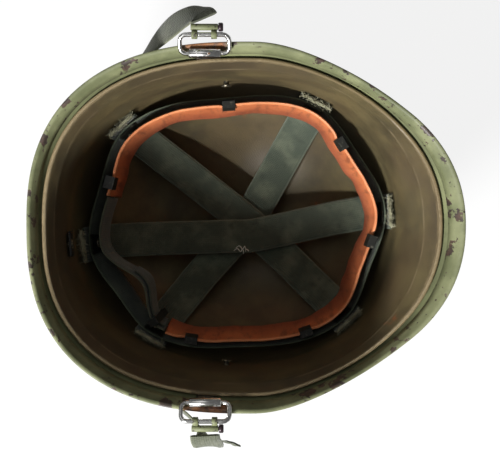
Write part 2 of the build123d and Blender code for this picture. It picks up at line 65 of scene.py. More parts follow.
def reach_table(profile, inset):
    """Heights and reaches of the face that lies inset inside the pot's outer face."""
    key = (profile, inset)
    if key not in tables:
        reach, dome, flare_start, flare_radius = profile
        z = SIDE_HEIGHT * 1.15 * np.linspace(0.0005, 1, 1500) ** 2 - CROWN_FLAT
        rise = np.minimum((z + CROWN_FLAT) / dome, 1)
        bow = np.sqrt(rise * (2 - rise))
        flare = np.maximum(z - flare_start, 0)
        slope = reach * (1 - rise) / (dome * bow) + flare / flare_radius
        square = np.sqrt(1 + slope**2)
        heights = np.concatenate([[inset - CROWN_FLAT], z + inset * slope / square])
        reaches = np.concatenate([[0], reach * bow + flare**2 / (2 * flare_radius) - inset / square])
        tables[key] = (heights, np.maximum(reaches, 0))
    return tables[key]


def wall_radius(angle, z, inset):
    """Reach of the oval at a height, from its middle out to the inset face."""
    turn = math.radians(angle)
    brow_half = math.cos(turn) >= 0
    along = np.interp(z, *reach_table(BROW if brow_half else NAPE, inset))
    across = np.interp(z, *reach_table(SIDE, inset))
    power = 2 + ((BROW_SQUARENESS if brow_half else NAPE_SQUARENESS) - 2) * min(max(z, 0) / SIDE_HEIGHT, 1)
    if min(along, across) < 1e-6:
        return 0.0
    reach = (abs(math.cos(turn)) / along) ** power + (abs(math.sin(turn)) / across) ** power
    return reach ** (-1 / power)


def wall_point(angle, z, inset):
    radius = wall_radius(angle, z, inset)
    behind = CROWN_SHIFT * max(1 - z / CROWN_BLEND, 0) ** 2
    turn = math.radians(angle)
    return Vector((radius * math.cos(turn) - behind, radius * math.sin(turn), z))


def wall_axes(angle, z, inset):
    """Level, upward and inward directions on the wall."""
    level = (wall_point(angle - 1, z, inset) - wall_point(angle + 1, z, inset)).normalized()
    upward = (wall_point(angle, z + 1, inset) - wall_point(angle, z - 1, inset)).normalized()
    return level, upward, level.cross(upward).normalized()


def rim_height(x):
    """Height of the rim line, which steps down to the visor and sinks a little to the nape."""
    share = min(max((x - STEP_START) / (STEP_END - STEP_START), 0), 1)
    return SIDE_HEIGHT - BROW_DROP * share**2 * (3 - 2 * share) - NAPE_DROP * min(x / NAPE_RIM, 0) ** 2


def rim_point(angle, inset, drop):
    """Point on an inset face at a drop below the rim line."""
    z = SIDE_HEIGHT - drop
    for _ in range(RIM_ROUNDS):
        z = rim_height(wall_radius(angle, z, inset) * math.cos(math.radians(angle))) - drop
    return wall_point(angle, z, inset)


def rim_ring(inset, drop):
    return [rim_point(360 * i / ROUND, inset, drop) for i in range(ROUND)]


def solid_from_rows(name, rows, lays, low_tip=None, high_tip=None, wrap=False):
    """A closed mesh through rings of points (mm), with its lay in the UV map (metres)."""
    count = len(rows[0])
    verts = [point * MM for row in rows for point in row]
    faces, uvs = [], []
    last = len(rows) - 1
    for j in range(len(rows) if wrap else last):
        k = (j + 1) % len(rows)
        for i in range(count):
            n = (i + 1) % count
            faces.append((j * count + i, j * count + n, k * count + n, k * count + i))
            uvs.append([lays[j][i], lays[j][n], lays[k][n], lays[k][i]])
    for tip, row, turn in ((low_tip, 0, -1), (high_tip, last, 1)):
        if tip is not None:
            verts.append(tip * MM)
            for i in range(count):
                n = (i + 1) % count
                pair = (row * count + i, row * count + n)
                faces.append((pair + (len(verts) - 1,))[::turn])
                uvs.append(([lays[row][i], lays[row][n], (0, 0)])[::turn])
    return mesh_object(name, verts, faces, uvs)


def mesh_object(name, verts, faces, uvs=None):
    mesh = bpy.data.meshes.new(name)
    mesh.from_pydata([tuple(v) for v in verts], [], faces)
    if uvs:
        layer = mesh.uv_layers.new(name="lay")
        flat = [value for face in uvs for corner in face for value in corner]
        layer.data.foreach_set("uv", flat)
    mesh.polygons.foreach_set("use_smooth", [True] * len(mesh.polygons))
    mesh.update()
    made = bpy.data.objects.new(name, mesh)
    bpy.context.scene.collection.objects.link(made)
    outward(made)
    return made


def outward(made):
    shape = bmesh.new()
    shape.from_mesh(made.data)
    bmesh.ops.recalc_face_normals(shape, faces=shape.faces)
    shape.to_mesh(made.data)
    shape.free()


def bowl_rings(inset, edge_drop, steps, shape=None):
    """Rings from the crown to the edge, with the cloth lay as an even fan from the crown."""
    rings, lays = [], []
    edges = [point.z for point in rim_ring(inset, edge_drop)]
    for j in range(steps + 1):
        ring, lay = [], []
        for i in range(ROUND):
            angle = 360 * i / ROUND
            z = inset + (edges[i] - inset) * (1 - math.cos(j / steps * math.pi / 2))
            at = inset + (shape(angle, z, edges[i] - z) if shape else 0)
            point = wall_point(angle, z, at)
            length = (point.xy.length + (z - inset) * 0.75) * MM
            ring.append(point)
            lay.append((length * math.cos(math.radians(angle)), length * math.sin(math.radians(angle))))
        rings.append(ring)
        lays.append(lay)
    return rings, lays


class Field:
    """A value in a node tree. Arithmetic on it adds the Math nodes that it needs."""

    def __init__(self, graph, socket):
        self.graph, self.socket = graph, socket

    def math(self, operation, *values):
        return self.graph.node("ShaderNodeMath", {"operation": operation}, dict(enumerate(values)))

    def __add__(self, other):
        return self.math("ADD", self, other)

    def __sub__(self, other):
        return self.math("SUBTRACT", self, other)

    def __rsub__(self, other):
        return self.math("SUBTRACT", other, self)

    def __mul__(self, other):
        return self.math("MULTIPLY", self, other)

    __radd__, __rmul__ = __add__, __mul__


class Graph:
    """A node tree, shader or geometry, that is written as expressions."""

    def __init__(self, tree):
        self.tree = tree

    def node(self, kind, settings=None, inputs=None, output=0):
        made = self.tree.nodes.new(kind)
        for key, value in (settings or {}).items():
            if key == "stops":
                for stop, (place, colour) in zip(made.color_ramp.elements, value):
                    stop.position, stop.color = place, (*colour, 1)
            else:
                setattr(made, key, value)
        for key, value in (inputs or {}).items():
            if isinstance(value, Field):
                self.tree.links.new(value.socket, made.inputs[key])
            elif isinstance(made.inputs[key].default_value, bpy.types.bpy_prop_array) and len(value) == 3 \
                    and len(made.inputs[key].default_value) == 4:
                made.inputs[key].default_value = (*value, 1)
            else:
                made.inputs[key].default_value = value
        return Field(self, made.outputs[output]) if len(made.outputs) else made

    def place(self):
        return self.node("ShaderNodeTexCoord", output="Object")

    def lay(self, axis):
        return self.node("ShaderNodeSeparateXYZ", {}, {0: self.node("ShaderNodeTexCoord", output="UV")}, axis)

    def along(self, axis):
        return self.node("ShaderNodeSeparateXYZ", {}, {0: self.place()}, axis)

    def noise(self, size, detail=2.0, rough=0.5, at=None):
        return self.node("ShaderNodeTexNoise", {}, {"Vector": at or self.place(), "Scale": 1 / size,
                                                    "Detail": detail, "Roughness": rough})

    def step(self, value, low, high):
        return self.node("ShaderNodeMapRange", {"interpolation_type": "SMOOTHSTEP"},
                         {"Value": value, "From Min": low, "From Max": high})

    def mix(self, mask, first, second):
        return self.node("ShaderNodeMix", {"data_type": "RGBA"}, {0: mask, 6: first, 7: second}, 2)

    def wave(self, value, pitch):
        turn = value * (2 * math.pi / pitch)
        return turn.math("SINE", turn)

    def surface(self, colour, roughness, relief=None, depth=0.0002, metal=0.0, **fixed):
        inputs = {"Base Color": colour, "Roughness": roughness, "Metallic": metal}
        inputs.update({key.replace("_", " "): value for key, value in fixed.items()})
        if relief is not None:
            inputs["Normal"] = self.node("ShaderNodeBump", {}, {"Height": relief, "Distance": depth})
        shader = self.node("ShaderNodeBsdfPrincipled", {}, inputs)
        self.node("ShaderNodeOutputMaterial", {}, {"Surface": shader})


def new_finish(name):
    material = bpy.data.materials.new(name)
    material.use_nodes = True
    material.node_tree.nodes.clear()
    return material, Graph(material.node_tree)


def put_on(piece, body, slot, material, *nodes):
    """Gives a finished piece its material and body, and hides the CAD nodes it stands for; the slot is not
    used.
    """
    piece.data.materials.clear()
    piece.data.materials.append(material)
    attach(piece, body)
    if nodes:
        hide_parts(*nodes)


OLIVE, OLIVE_PALE, OLIVE_DARK = (0.115, 0.125, 0.058), (0.20, 0.215, 0.10), (0.035, 0.038, 0.02)
PRIMER = (0.035, 0.02, 0.022)

pot_paint, g = new_finish("pot_paint")
blotch = g.noise(0.03, 4)
fine = g.noise(0.0012, 2)
scuff = g.step(g.noise(0.009, 6, 0.7), 0.63, 0.70)
colour = g.mix(g.step(blotch, 0.35, 0.7), OLIVE, OLIVE_PALE)
colour = g.mix(g.step(g.noise(0.012, 5, 0.65), 0.58, 0.75) * 0.5, colour, OLIVE_DARK)
colour = g.mix(scuff * 0.55, colour, PRIMER)
g.surface(colour, 0.62 + fine * 0.2 - scuff * 0.15, fine - scuff * 0.6, 0.00012)

POT_EDGE_ROUND, POT_EDGE_RISE, POT_RINGS = 0.4, 0.05, 44
outer, outer_lay = bowl_rings(0, POT_EDGE_ROUND, POT_RINGS)
inner, inner_lay = bowl_rings(POT_WALL, POT_EDGE_ROUND, POT_RINGS)
edge = rim_ring(POT_WALL / 2, -POT_EDGE_RISE)
pot = solid_from_rows("pot_shell_steel", outer + [edge] + inner[::-1],
                      outer_lay + [outer_lay[-1]] + inner_lay[::-1],
                      Vector((-CROWN_SHIFT, 0, 0)), Vector((-CROWN_SHIFT, 0, POT_WALL)))
put_on(pot, "helmet", "pot_paint", pot_paint, "pot_shell")

# The rim band is a strip of thinner steel folded over the pot's edge, inside and outside, and
# crimped on. Its paint is knocked off in patches down to the dark primer, and rubbed to rust
# under the two bales.
BALE_X = -26.0
SKIN, BAND_DEPTH, BEAD, EDGE_ROUND = 0.6, 8.0, 0.12, 0.3
BAND_LAY, BAND_SHADE_LINE, FOLD_RUNS = 0.82, 0.0199, 8


def strip_round_rim(name, section):
    rows, lays = [], []
    lengths = [0.0]
    for (a, b), (c, d) in zip(section, section[1:]):
        lengths.append(lengths[-1] + math.hypot(c - a, d - b))
    for (inset, drop), length in zip(section, lengths):
        rows.append(rim_ring(inset, drop))
        lays.append([(i / ROUND * BAND_LAY, length * MM) for i in range(ROUND)])
    return solid_from_rows(name, rows, lays, wrap=True)


fold_middle, fold_half = POT_WALL / 2, POT_WALL / 2 + SKIN
section = [(-SKIN * 0.2, BAND_DEPTH), (-SKIN, BAND_DEPTH - EDGE_ROUND),
           (-SKIN - BEAD, BAND_DEPTH / 2), (-SKIN, fold_middle)]
for k in range(1, FOLD_RUNS):
    turn = math.pi * k / FOLD_RUNS
    section.append((fold_middle - fold_half * math.cos(turn), fold_middle - fold_half * math.sin(turn)))
section += [(POT_WALL + SKIN, fold_middle), (POT_WALL + SKIN + BEAD, BAND_DEPTH / 2),
            (POT_WALL + SKIN, BAND_DEPTH - EDGE_ROUND), (POT_WALL + 0.1, BAND_DEPTH),
            (POT_WALL * 0.5, BAND_DEPTH * 0.6)]
band = strip_round_rim("rim_band_strip", section)

rim_paint, g = new_finish("rim_paint")
fine = g.noise(0.0009, 3)
blotch = g.noise(0.02, 4)
chips = g.step(g.noise(0.014, 5, 0.6), 0.585, 0.605)
small = g.step(g.noise(0.0035, 3, 0.6), 0.66, 0.69)
chips = chips.math("MAXIMUM", chips, small)
# Painted shade: a thin dark line along the band's lower inner edge, where it meets the pot's wall.
edge_gap_shade = g.lay(1) - BAND_SHADE_LINE
edge_gap_shade = 1 - g.step(edge_gap_shade.math("ABSOLUTE", edge_gap_shade), 0.0002, 0.0012)
colour = g.mix(g.step(blotch, 0.35, 0.65), (0.15, 0.165, 0.078), (0.25, 0.265, 0.135))
colour = g.mix(g.noise(0.004, 4) * 0.35, colour, OLIVE_DARK)
bare = g.mix(g.step(g.noise(0.005, 3), 0.45, 0.6), PRIMER, (0.075, 0.04, 0.035))
colour = g.mix(chips * 0.9, colour, bare)
colour = g.mix(edge_gap_shade * 0.75, colour, OLIVE_DARK)
x, y = g.along(0) - BALE_X * MM, g.along(1)
rubbed = (1 - g.step(x.math("ABSOLUTE", x), 0.0125, 0.0155)) * g.step(y.math("ABSOLUTE", y), 0.1125, 0.1140)
rust = g.mix(g.step(g.noise(0.004, 5, 0.65), 0.38, 0.62), (0.14, 0.075, 0.055), (0.33, 0.13, 0.045))
colour = g.mix(rubbed * (0.6 + g.noise(0.003, 3) * 0.6), colour, rust)
g.surface(colour, 0.5 + fine * 0.2 - chips * 0.12, fine * 0.4 - chips, 0.00016)
put_on(band, "helmet", "rim_paint", rim_paint, "rim_band")

# The liner is a shell of cotton duck soaked in resin and pressed to shape, 2.3 mm thick. Its
# weave shows through the brown-olive finish, and its cut edge is worn pale.
LINER_OUTER, LINER_WALL, LINER_DROP, LINER_ROUND = 2.5, 2.3, 9.5, 0.8
LINER_INNER = LINER_OUTER + LINER_WALL
BEAD_DROP, BEAD_HALF, BEAD_RISE, LINER_WAVER = 20.0, 1.6, 0.55, 0.25
OUTER_RINGS, INNER_RINGS = 40, 90


def liner_bead(angle, z, below_edge):
    turn = math.radians(angle)
    waver = noise.noise(Vector((math.cos(turn) * 3, math.sin(turn) * 3, z / 30)))
    bead = math.exp(-((below_edge - BEAD_DROP + LINER_DROP) / BEAD_HALF) ** 2)
    return BEAD_RISE * bead + LINER_WAVER * waver


outer, outer_lay = bowl_rings(LINER_OUTER, LINER_DROP + LINER_ROUND, OUTER_RINGS)
inner, inner_lay = bowl_rings(LINER_INNER, LINER_DROP + LINER_ROUND, INNER_RINGS, liner_bead)
edges = [rim_ring(inset, LINER_DROP + drop)
         for inset, drop in ((LINER_OUTER + 0.2, 0.25), (LINER_OUTER + LINER_WALL / 2, 0),
                             (LINER_INNER - 0.2, 0.25))]
liner = solid_from_rows("liner_fibre_shell", outer + edges + inner[::-1],
                        outer_lay + [outer_lay[-1]] * 3 + inner_lay[::-1],
                        Vector((-CROWN_SHIFT, 0, LINER_OUTER)), Vector((-CROWN_SHIFT, 0, LINER_INNER)))
edge_mark = liner.data.attributes.new("below_edge", "FLOAT", "POINT")
for index, vertex in enumerate(liner.data.vertices):
    edge_mark.data[index].value = (rim_height(vertex.co.x / MM) - LINER_DROP) * MM - vertex.co.z

liner_finish, g = new_finish("liner_fibre")
u, v = g.lay(0), g.lay(1)
THREAD = 0.0013
warp = g.wave(u + g.noise(0.02, 2) * 0.004, THREAD)
weft = g.wave(v + g.noise(0.025, 2) * 0.004, THREAD)
weave = warp * weft * 0.5 + 0.5
mottle = g.noise(0.035, 5, 0.6)
grime = g.step(g.noise(0.06, 4), 0.42, 0.62)
below = g.node("ShaderNodeAttribute", {"attribute_name": "below_edge"}, output="Fac")
worn_edge = 1 - g.step(below + (g.noise(0.006, 4) - 0.5) * 0.0018, 0.0004, 0.0016)
colour = g.mix(g.step(mottle, 0.3, 0.7), (0.080, 0.062, 0.025), (0.21, 0.16, 0.062))
colour = g.mix(weave * 0.8, colour, (0.032, 0.027, 0.013))
colour = g.mix(grime * 0.35, colour, (0.07, 0.038, 0.018))
scratch = g.step(g.noise(0.0026, 6, 0.7), 0.69, 0.73)
colour = g.mix(scratch * 0.6, colour, (0.2, 0.13, 0.06))
rusty = g.step(g.noise(0.024, 4, 0.6), 0.67, 0.72) * g.step(g.noise(0.005, 3), 0.4, 0.6)
colour = g.mix(rusty * 0.7, colour, (0.26, 0.08, 0.02))
colour = g.mix(worn_edge * 0.85, colour, (0.27, 0.2, 0.1))
# Painted highlight: a broken light line along the pressed bead, about 10.5 mm below the liner's edge.
bead_highlight = below - 0.0105 + (g.noise(0.03, 2) - 0.5) * 0.003
bead_highlight = 1 - g.step(bead_highlight.math("ABSOLUTE", bead_highlight), 0.0002, 0.0009)
colour = g.mix(bead_highlight * g.step(g.noise(0.02, 3), 0.42, 0.6) * 0.6, colour, (0.22, 0.165, 0.09))
g.surface(colour, 0.44 + weave * 0.14 + mottle * 0.16, weave * 0.8 + g.noise(0.0008, 2) * 0.35, 0.0004,
          Coat_Weight=0.3, Coat_Roughness=0.3)
put_on(liner, "helmet", "liner_fibre", liner_finish, "liner_shell")

# Cotton webbing, 25 mm wide: three straps cross over the crown, each held at both ends
# between the liner and a washer. The fore and aft strap lies on top.
WEB_WIDTH, WEB_THICK, WEB_SEAT, BAND_SEAT = 25.0, 1.4, 1.6, 1.5
WASHER_HEIGHT, WASHERS = 70.0, [4.5, 60.0, 142.0, 188.0, 230.0, 316.0]
CROSSING, LONG_CROSSING, CROSSING_HEIGHT, CROSSING_STEP = (1.0, -2.0), (2.0, -12.0), 24.0, 2.6
STRAP_FOOT, CURVE_SHARE, STRAP_STEPS = 16.0, 0.93, 7


def smooth_run(points, per_run):
    """A smooth line of points through the given ones."""
    done = []
    last = len(points) - 1
    for i in range(last):
        a, b = points[max(i - 1, 0)], points[i]
        c, d = points[i + 1], points[min(i + 2, last)]
        for k in range(per_run):
            t = k / per_run
            bend, twist = 2 * a - 5 * b + 4 * c - d, 3 * b - a - 3 * c + d
            done.append(0.5 * (2 * b + (c - a) * t + bend * t**2 + twist * t**3))
    return done + [points[-1].copy()]


SELVEDGE_POWER, SELVEDGE_LEAST = 14, 0.04


def ribbon(name, points, edges, width, thick, per_run=8, columns=10, wobble=None, closed=False, swell=None):
    """A strap with rounded selvedges along the points, lying across the edge directions."""
    if per_run > 1:
        points, edges = smooth_run(points, per_run), smooth_run(edges, per_run)
    rows, lays, length = [], [], 0.0
    last = len(points) - 1
    for index, point in enumerate(points):
        before = points[index - 1] if closed else points[max(index - 1, 0)]
        after = points[(index + 1) % len(points)] if closed else points[min(index + 1, last)]
        ahead = (after - before).normalized()
        across = (edges[index] - ahead * ahead.dot(edges[index])).normalized()
        face = ahead.cross(across)
        length += (point - points[index - 1]).length if index else 0
        row, lay = [], []
        outline = [(share, 1) for share in np.linspace(-1, 1, columns)] + \
                  [(share, -1) for share in np.linspace(1, -1, columns)]
        for share, side in outline:
            full = math.sqrt(max(1 - abs(share) ** SELVEDGE_POWER, SELVEDGE_LEAST))
            full *= swell(share) if swell else 1
            lift, shift = wobble(length, share * width / 2) if wobble else (0, 0)
            row.append(point + across * (share * width / 2 + shift) + face * (side * full * thick / 2 + lift))
            lay.append((share * width / 2 * MM, length * MM))
        rows.append(row)
        lays.append(lay)
    made = solid_from_rows(name, rows, lays, wrap=closed)
    if not closed:
        cap_ends(made, len(rows[0]), len(rows))
    return made


def cap_ends(made, count, rows):
    """Closes both cut ends of a strap with a row of four-sided faces."""
    shape = bmesh.new()
    shape.from_mesh(made.data)
    shape.verts.ensure_lookup_table()
    for row in (0, rows - 1):
        ring = [shape.verts[row * count + i] for i in range(count)]
        half = count // 2
        for i in range(half - 1):
            shape.faces.new((ring[i], ring[i + 1], ring[count - 2 - i], ring[count - 1 - i]))
    bmesh.ops.recalc_face_normals(shape, faces=shape.faces)
    shape.to_mesh(made.data)
    shape.free()


def webbing(name, base, worn, half, pitch=0.0013):
    """Ribbed cotton: fades in patches, wears pale along both selvedges."""
    material, g = new_finish(name)
    u, v = g.lay(0), g.lay(1)
    rib = g.wave(v + g.wave(u, pitch * 2) * (pitch * 0.22), pitch)
    thread = g.wave(u, pitch * 1.15)
    weave = rib * 0.3 + thread * 0.22 + 0.5
    faded = g.step(g.noise(0.018, 5, 0.6), 0.4, 0.72)
    selvedge = g.step(u.math("ABSOLUTE", u), half * 0.86, half)
    fluff = g.noise(0.0006, 2)
    colour = g.mix(faded, base, worn)
    colour = g.mix(selvedge * 0.5, colour, tuple(c * 1.7 for c in worn))
    colour = g.mix(weave * 0.35, colour, tuple(c * 0.45 for c in base))
    colour = g.mix(g.step(g.noise(0.006, 4), 0.55, 0.75) * 0.5, colour, tuple(c * 0.5 for c in base))
    g.surface(colour, 0.86 + fluff * 0.1, weave + fluff * 0.35, 0.0003,
              Sheen_Weight=0.25, Sheen_Roughness=0.5)
    return material


def strap_path(first, second, lift, over):
    """Middle line and cross directions of a crown strap, from one washer over to the other."""
    points, edges = [], []
    for angle, way in ((first, 1), (second, -1)):
        inset = LINER_INNER + WEB_SEAT + WEB_THICK / 2
        side = [wall_point(angle, WASHER_HEIGHT + STRAP_FOOT * share, inset)
                for share in (0.75, 0.25, -0.25, -0.75, -1)]
        edge_side = [wall_axes(angle, point.z, inset)[0] * way for point in side]
        foot, low = side[-1], CROSSING_HEIGHT + lift
        for step in range(1, STRAP_STEPS):
            share = 1 - step / STRAP_STEPS
            drop = (1 - math.sqrt(1 - (CURVE_SHARE * share) ** 2)) / (1 - math.sqrt(1 - CURVE_SHARE**2))
            side.append(Vector((over[0] + (foot.x - over[0]) * share, over[1] + (foot.y - over[1]) * share,
                                low + (foot.z - low) * drop)))
            edge_side.append(edge_side[0])
        if way == 1:
            points, edges = side + [Vector((*over, low))], edge_side + [edge_side[0]]
        else:
            points, edges = points + side[::-1], edges + edge_side[::-1]
    return points, edges


def strap_wobble(seed, size=0.7):
    def wobble(length, across):
        rise = noise.noise(Vector((length / 26, across / 30, seed))) * size
        rise += noise.noise(Vector((length / 9, across / 14, seed + 7))) * size * 0.25
        return rise, noise.noise(Vector((length / 40, seed, 3))) * 0.8
    return wobble


green_webbing = webbing("green_webbing", (0.045, 0.060, 0.040), (0.11, 0.13, 0.085), WEB_WIDTH / 2 * MM)
for name, first, second, level, over in (("low", 1, 4, 0, CROSSING), ("middle", 2, 5, 1, CROSSING),
                                         ("long", 0, 3, 3, LONG_CROSSING)):
    path, sides = strap_path(WASHERS[first], WASHERS[second], level * CROSSING_STEP, over)
    strap = ribbon(f"crown_strap_{name}_web", path, sides, WEB_WIDTH, WEB_THICK, 6, 12,
                   strap_wobble(level * 11.0))
    put_on(strap, "helmet", "webbing", green_webbing, f"crown_strap_{name}")

# Scraps of white thread are caught in the long strap where a stitch has come undone. Each is
# one round cotton strand with a curl in it.
THREAD_TOP, THREAD_HALF = CROSSING_HEIGHT + 3 * CROSSING_STEP + WEB_THICK, 0.32
THREAD_CURL = ((-5, 0, -0.3), (-2.5, 1.8, 0.9), (0, -0.6, 1.2), (1.6, 1.6, 1.0), (2.2, -2.4, -0.2))
THREAD_SPOTS = ((-4.5, -23.0), (-3.0, -21.0))


def tube(name, path, radius, sides=14, closed=True):
    """A round wire along points (mm); its ends are closed when it is open."""
    rows, lays = [], []
    count = len(path)
    normal = None
    for index in range(count):
        before = path[index - 1] if closed else path[max(index - 1, 0)]
        after = path[(index + 1) % count] if closed else path[min(index + 1, count - 1)]
        ahead = (after - before).normalized()
        normal = ahead.orthogonal() if normal is None else normal - ahead * ahead.dot(normal)
        normal.normalize()
        other = ahead.cross(normal)
        rows.append([path[index] + (normal * math.cos(t) + other * math.sin(t)) * radius
                     for t in (2 * math.pi * k / sides for k in range(sides))])
        lays.append([(k / sides * 0.01, index * 0.001) for k in range(sides)])
    if closed:
        return solid_from_rows(name, rows, lays, wrap=True)
    return solid_from_rows(name, rows, lays, path[0], path[-1])


def strand(points, radius):
    return tube("scrap", smooth_run([Vector(point) for point in points], 5), radius, 6, closed=False)


def joined_mesh(name, parts):
    """One object from several, which are removed."""
    shape = bmesh.new()
    for part in parts:
        shape.from_mesh(part.data)
    mesh = bpy.data.meshes.new(name)
    shape.to_mesh(mesh)
    shape.free()
    for part in parts:
        bpy.data.objects.remove(part)
    made = bpy.data.objects.new(name, mesh)
    bpy.context.scene.collection.objects.link(made)
    return made


scraps = [strand([(x + along, y + aside, THREAD_TOP + rise) for along, aside, rise in THREAD_CURL],
                 THREAD_HALF) for x, y in THREAD_SPOTS]
scraps.append(strand([(x, y, THREAD_TOP) for x, y in ((-1, -21.5), (1.0, -22.5), (1.3, -23.5))], 0.3))
thread_finish, g = new_finish("cotton_thread")
g.surface(g.mix(g.noise(0.0008, 2), (0.45, 0.45, 0.38), (0.7, 0.7, 0.62)), 0.9)
put_on(joined_mesh("thread_scraps", scraps), "helmet", "frayed_webbing", thread_finish)

# The suspension band is the same webbing, run round the liner and bowed inward between the
# washers. It carries the sweatband.
BAND_SAG = 5.5


def band_inset(angle):
    """Depth of the band's face inside the liner, most midway between two washers."""
    ahead = min((washer - angle) % 360 for washer in WASHERS)
    behind = min((angle - washer) % 360 for washer in WASHERS)
    share = behind / (ahead + behind) if behind > 0 else 0
    return WEB_SEAT + WEB_THICK + BAND_SEAT + BAND_SAG * math.sin(math.pi * share) ** 2


def band_point(angle, height, depth):
    radius = wall_radius(angle, height, LINER_INNER) - band_inset(angle) - depth
    return Vector((radius * math.cos(math.radians(angle)), radius * math.sin(math.radians(angle)), height))


turns = [360 * i / ROUND for i in range(ROUND)]
low, high = WASHER_HEIGHT - WEB_WIDTH / 2, WASHER_HEIGHT + WEB_WIDTH / 2
middles = [(band_point(t, low, WEB_THICK / 2) + band_point(t, high, WEB_THICK / 2)) * 0.5 for t in turns]
leans = [band_point(t, high, 0) - band_point(t, low, 0) for t in turns]
ring = ribbon("suspension_band_web", middles, leans, WEB_WIDTH, WEB_THICK, 1, 12,
              strap_wobble(40.0, 0.3), closed=True)
put_on(ring, "helmet", "webbing", green_webbing, "suspension_band")

# The sweatband is a strip of vegetable-tanned leather, its upper edge folded over and given a
# painted highlight. It leans outward and hangs from the suspension band on six sheet clips.
LEATHER_HEIGHT, LEATHER_THICK, LEATHER_TOP, LEATHER_ROOM, LEATHER_LEAN = 34.0, 1.4, 90.0, 3.0, 7.0
LEATHER_START, LEATHER_END, LEATHER_RUNS = 169.0, -127.0, 260
CLIPS = [100.0, 42.0, -5.5, -59.0, -119.0, 163.0]


def leather_point(angle, height, depth=0.0):
    lean = LEATHER_LEAN * (LEATHER_TOP - height) / LEATHER_HEIGHT
    point = band_point(angle, WASHER_HEIGHT, WEB_THICK + LEATHER_ROOM + lean + depth)
    return Vector((point.x, point.y, height))


def leaning_edge(angle):
    turn = math.radians(angle)
    return Vector((math.cos(turn) * LEATHER_LEAN, math.sin(turn) * LEATHER_LEAN, LEATHER_HEIGHT)).normalized()


angles = [LEATHER_START + (LEATHER_END - LEATHER_START) * k / LEATHER_RUNS for k in range(LEATHER_RUNS + 1)]
middle = LEATHER_TOP - LEATHER_HEIGHT / 2
line = [leather_point(angle, middle) for angle in angles]
run = np.concatenate([[0], np.cumsum([(b - a).length for a, b in zip(line, line[1:])])])


def leather_wobble(length, across):
    """Waves in the worn leather, and a pinch under each clip."""
    up = across / LEATHER_HEIGHT + 0.5
    angle = np.interp(length, run, angles)
    pinch = max(math.exp(-((angle - clip) / 2.4) ** 2) for clip in CLIPS)
    loose = 0.5 + 0.5 * math.exp(-((angle - 28) / 22) ** 2) + 0.3 * math.exp(-((angle + 30) / 20) ** 2)
    slow = noise.noise(Vector((length / 33, 2.0, across / 60))) * 2.8
    fold = noise.noise(Vector((length / 12, across / 40, 9.0))) * 2.0
    lift = (slow + fold) * (0.3 + 0.7 * (1 - up)) * loose + pinch * up * 0.7
    return lift, noise.noise(Vector((length / 27, 5.0, 1.0))) * 1.0 - pinch * 2.6 * up**3


def folded_edge(share):
    return 1 + 0.75 * math.exp(-((share - 0.90) / 0.09) ** 2)


leather = ribbon("sweatband_leather_strip", line, [leaning_edge(angle) for angle in angles],
                 LEATHER_HEIGHT, LEATHER_THICK, 1, 28, leather_wobble, swell=folded_edge)

leather_finish, g = new_finish("sweatband_hide")
u, v = g.lay(0), g.lay(1)
half = LEATHER_HEIGHT / 2 * MM
high_up = g.step(u, -half, half)
crease_at = g.node("ShaderNodeCombineXYZ", {}, {0: v * 1.0, 1: u * 0.25, 2: 0.0})
creases = g.noise(0.006, 4, 0.6, at=crease_at)
grain = g.node("ShaderNodeTexVoronoi", {"feature": "DISTANCE_TO_EDGE"}, {"Vector": g.place(), "Scale": 900.0})
stain = g.noise(0.02, 5, 0.62)
# Painted highlight: a light orange band along the folded upper edge.
fold_highlight = g.step(u, half * 0.80, half * 0.92)
colour = g.mix(g.step(stain, 0.3, 0.7), (0.52, 0.135, 0.045), (0.70, 0.215, 0.075))
colour = g.mix((1 - high_up) * 0.8, colour, (0.24, 0.055, 0.025))
colour = g.mix(g.step(creases, 0.48, 0.68) * 0.7, colour, (0.20, 0.055, 0.024))
colour = g.mix(fold_highlight * 0.6, colour, (0.82, 0.31, 0.13))
colour = g.mix(g.step(g.noise(0.004, 5, 0.7), 0.62, 0.72) * 0.6, colour, (0.16, 0.05, 0.022))
g.surface(colour, 0.44 + stain * 0.2, creases * 1.2 + g.step(grain, 0.0, 0.12) * 0.25, 0.0005,
          Coat_Weight=0.12, Coat_Roughness=0.4)
put_on(leather, "helmet", "leather", leather_finish, "sweatband_leather")

# At the nape the sweatband is closed by webbing: one layer fixed to the leather's ends, and a
# tail that runs back through a wire slide.
CLOSURE_MIDDLE, PULL, PULL_START, PULL_END = 75.0, 12.0, 188.0, 231.0
NAPE_WEB_START, NAPE_WEB_END = LEATHER_START + 0.6, 360 + LEATHER_END - 0.6
TAIL_START, TAIL_END, TAIL_WIDTH = 203.0, 231.5, 19.0
LAYER = WEB_THICK + 0.8
CLOSURE_RUNS = 48


def closure_point(angle, layer):
    share = min(max((angle - PULL_START) / (PULL_END - PULL_START), 0), 1)
    return leather_point(angle, CLOSURE_MIDDLE, PULL * math.sin(math.pi * share) ** 2 + layer * LAYER)


for name, start, end, layer, width, node in (
        ("sweatband_nape_web", NAPE_WEB_START, NAPE_WEB_END, 0, WEB_WIDTH, "sweatband_web"),
        ("sweatband_tail_web", TAIL_START, TAIL_END, 1, TAIL_WIDTH, "sweatband_tail")):
    angles = [start + (end - start) * k / CLOSURE_RUNS for k in range(CLOSURE_RUNS + 1)]
    web = ribbon(name, [closure_point(a, layer) for a in angles], [leaning_edge(a) for a in angles],
                 width, WEB_THICK, 1, 12, strap_wobble(70.0 + layer, 0.35))
    put_on(web, "helmet", "webbing", green_webbing, node)

# Washers, clips, slide and nape plate are stamped from thin sheet and lacquered dark. The
# lacquer is worn off the bends.


def recoat(material, *nodes):
    """Gives CAD pieces that are carried over as they are a material."""
    for node in nodes:
        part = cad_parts[node]
        part.data.materials.clear()
        part.data.materials.append(material)


